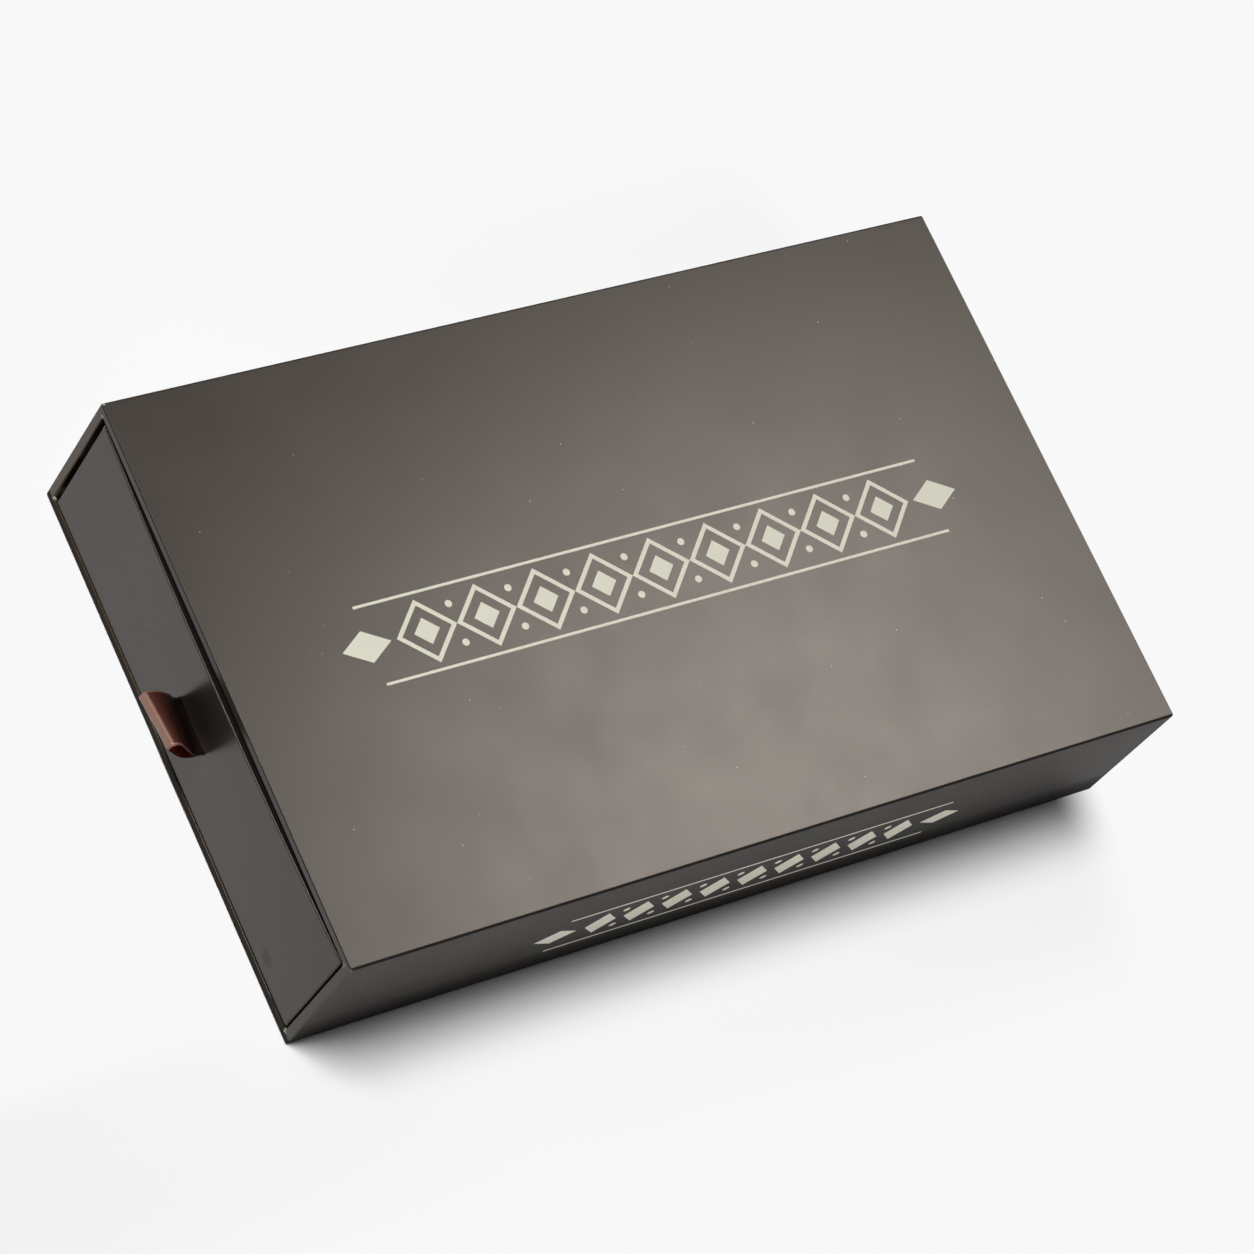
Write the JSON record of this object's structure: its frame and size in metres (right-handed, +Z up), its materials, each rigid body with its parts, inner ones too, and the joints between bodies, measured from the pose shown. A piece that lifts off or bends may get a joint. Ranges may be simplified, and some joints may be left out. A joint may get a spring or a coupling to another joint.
{
  "type": "sliding drawer gift box",
  "caption": "Rigid paperboard gift box: a sleeve open at one end, and a drawer tray that slides out of it when its ribbon loop is pulled.",
  "frame": {"origin": "middle of the sleeve's footprint, on the underside of the base paper that rests on the table", "axes": "+Z up; the sleeve's mouth and the drawer front face -Y; the tray slides out along -Y; +X is the right-hand side seen from the mouth"},
  "size_m": [0.148, 0.2536, 0.046],
  "materials": {
    "charcoal_wrap": "matt laminated wrapping paper, near-black warm charcoal",
    "black_liner": "uncoated black lining paper",
    "greyboard": "grey recycled board, hidden under the paper",
    "kraft_tape": "brown kraft stay paper, hidden under the wrap",
    "brown_satin": "double-faced satin ribbon, dark reddish brown"
  },
  "bodies": {
    "sleeve": {"sleeve_top_board": "greyboard", "sleeve_base_board": "greyboard", "sleeve_left_board": "greyboard", "sleeve_right_board": "greyboard", "sleeve_back_board": "greyboard", "sleeve_base_left_stay": "kraft_tape", "sleeve_base_right_stay": "kraft_tape", "sleeve_top_left_stay": "kraft_tape", "sleeve_top_right_stay": "kraft_tape", "sleeve_wrap": "charcoal_wrap", "sleeve_liner": "black_liner", "sleeve_base_paper": "charcoal_wrap", "sleeve_back_paper": "charcoal_wrap"},
    "tray": {"tray_front_board": "greyboard", "tray_back_board": "greyboard", "tray_left_board": "greyboard", "tray_right_board": "greyboard", "tray_base_board": "greyboard", "tray_front_left_stay": "kraft_tape", "tray_front_right_stay": "kraft_tape", "tray_back_left_stay": "kraft_tape", "tray_back_right_stay": "kraft_tape", "tray_wrap": "charcoal_wrap", "tray_floor_paper": "black_liner", "tray_underside_paper": "black_liner", "ribbon_tails": "brown_satin", "ribbon_patch": "black_liner"},
    "ribbon": {"ribbon_loop": "brown_satin"}
  },
  "joints": [
    {"name": "tray_slide", "type": "slide", "parent": "sleeve", "child": "tray", "axis": [0, -1, 0], "range_m": [0, 0.22]},
    {"name": "ribbon_flex", "type": "hinge", "parent": "tray", "child": "ribbon", "pos_m": [0.0003, -0.12103, 0.02244], "axis": [-1, 0, 0], "range_deg": [-100, 35], "stiffness_Nm_per_rad": 0.0005}
  ]
}
